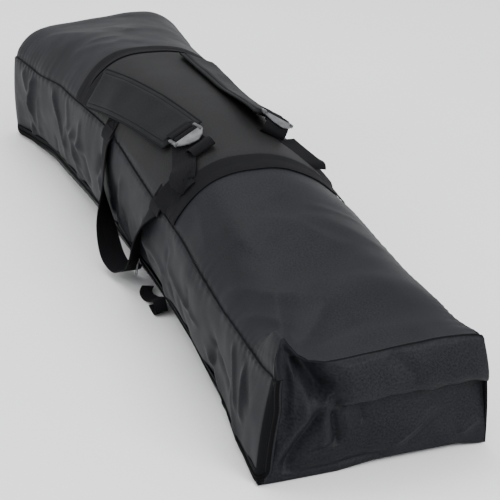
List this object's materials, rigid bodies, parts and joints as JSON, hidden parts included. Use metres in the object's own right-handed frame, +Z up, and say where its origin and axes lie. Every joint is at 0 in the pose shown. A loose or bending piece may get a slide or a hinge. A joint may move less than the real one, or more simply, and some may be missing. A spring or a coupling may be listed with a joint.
{
  "type": "long carry bag",
  "caption": "Long soft carry bag with a zipped side flap, webbing carry handles and padded shoulder straps, for a folded display rack.",
  "frame": {"origin": "middle of the base, on the floor the bag lies on", "axes": "+X along the bag to the near end, +Y to the side with no zip, +Z up"},
  "size_m": [1.284, 0.3678, 0.2624],
  "materials": {
    "polyester": "coated polyester weave, soft sheen",
    "webbing": "matte woven webbing",
    "pad_cloth": "padded polyester, bound edges",
    "zip_tape": "woven zip tape",
    "zip_coil": "nylon coil",
    "zip_metal": "grey lacquered metal",
    "buckle_plastic": "moulded plastic, satin"
  },
  "bodies": {
    "bag_body": {"bottom_panel": "polyester", "right_side_panel": "polyester", "near_end_panel": "polyester", "far_end_panel": "polyester", "top_panel_far": "polyester", "back_pad": "polyester", "top_panel_near": "polyester", "cross_band_far": "webbing", "cross_band_near": "webbing", "zip_tape_body": "zip_tape", "zip_coil_body": "zip_coil", "left_handle_tab_far": "webbing", "left_handle_tab_near": "webbing", "right_handle_tab_far": "webbing", "right_handle_tab_near": "webbing", "left_strap_anchor": "webbing", "right_strap_anchor": "webbing", "left_strap_adjuster": "webbing", "right_strap_adjuster": "webbing", "floor_tether": "webbing"},
    "flap": {"side_flap": "polyester", "zip_tape_flap": "zip_tape", "zip_coil_flap": "zip_coil"},
    "left_handle_loop": {"left_handle": "webbing"},
    "right_handle_loop": {"right_handle": "webbing"},
    "slider_near": {"zip_slider_near": "zip_metal"},
    "slider_far": {"zip_slider_far": "zip_metal"},
    "pull_near": {"zip_pull_near": "zip_metal"},
    "pull_far": {"zip_pull_far": "zip_metal"},
    "left_strap": {"left_strap_pad": "pad_cloth"},
    "right_strap": {"right_strap_pad": "pad_cloth"},
    "left_buckle": {"left_strap_buckle": "buckle_plastic", "left_strap_tail": "webbing"},
    "right_buckle": {"right_strap_buckle": "buckle_plastic", "right_strap_tail": "webbing"}
  },
  "joints": [
    {"name": "flap_swing", "type": "hinge", "parent": "bag_body", "child": "flap", "pos_m": [0, -0.1365, 0.172], "axis": [-1, 0, 0], "range_deg": [0, 70]},
    {"name": "slider_near_run", "type": "slide", "parent": "flap", "child": "slider_near", "axis": [1, 0, 0], "range_m": [0, 0.22]},
    {"name": "slider_far_run", "type": "slide", "parent": "flap", "child": "slider_far", "axis": [-1, 0, 0], "range_m": [0, 0.22]},
    {"name": "pull_near_swing", "type": "hinge", "parent": "slider_near", "child": "pull_near", "pos_m": [0.0265, -0.1363, 0.0395], "axis": [-1, 0, 0], "range_deg": [0, 20]},
    {"name": "pull_far_swing", "type": "hinge", "parent": "slider_far", "child": "pull_far", "pos_m": [0.0055, -0.1363, 0.0395], "axis": [-1, 0, 0], "range_deg": [0, 20]},
    {"name": "left_handle_swing", "type": "hinge", "parent": "flap", "child": "left_handle_loop", "pos_m": [0.002, -0.1381, 0.172], "axis": [-1, 0, 0], "range_deg": [0, 80]},
    {"name": "right_handle_swing", "type": "hinge", "parent": "bag_body", "child": "right_handle_loop", "pos_m": [0.002, 0.1381, 0.172], "axis": [1, 0, 0], "range_deg": [0, 110]},
    {"name": "left_strap_lift", "type": "hinge", "parent": "bag_body", "child": "left_strap", "pos_m": [-0.242, -0.1043, 0.2115], "axis": [0.174, -0.7075, -0.6849], "range_deg": [0, 12]},
    {"name": "right_strap_lift", "type": "hinge", "parent": "bag_body", "child": "right_strap", "pos_m": [-0.242, 0.0642, 0.2404], "axis": [0.0478, -0.8976, 0.4382], "range_deg": [0, 12]},
    {"name": "left_buckle_tilt", "type": "hinge", "parent": "left_strap", "child": "left_buckle", "pos_m": [0.062, -0.0692, 0.2465], "axis": [0.1409, -0.8802, -0.4532], "range_deg": [0, 35]},
    {"name": "right_buckle_tilt", "type": "hinge", "parent": "right_strap", "child": "right_buckle", "pos_m": [0.044, 0.0804, 0.2401], "axis": [0.0502, -0.846, 0.5308], "range_deg": [0, 35]}
  ],
  "couplings": [
    {"joint": "slider_near_run", "follows": "flap_swing", "m_per_rad": 0.18},
    {"joint": "slider_far_run", "follows": "flap_swing", "m_per_rad": 0.18}
  ]
}
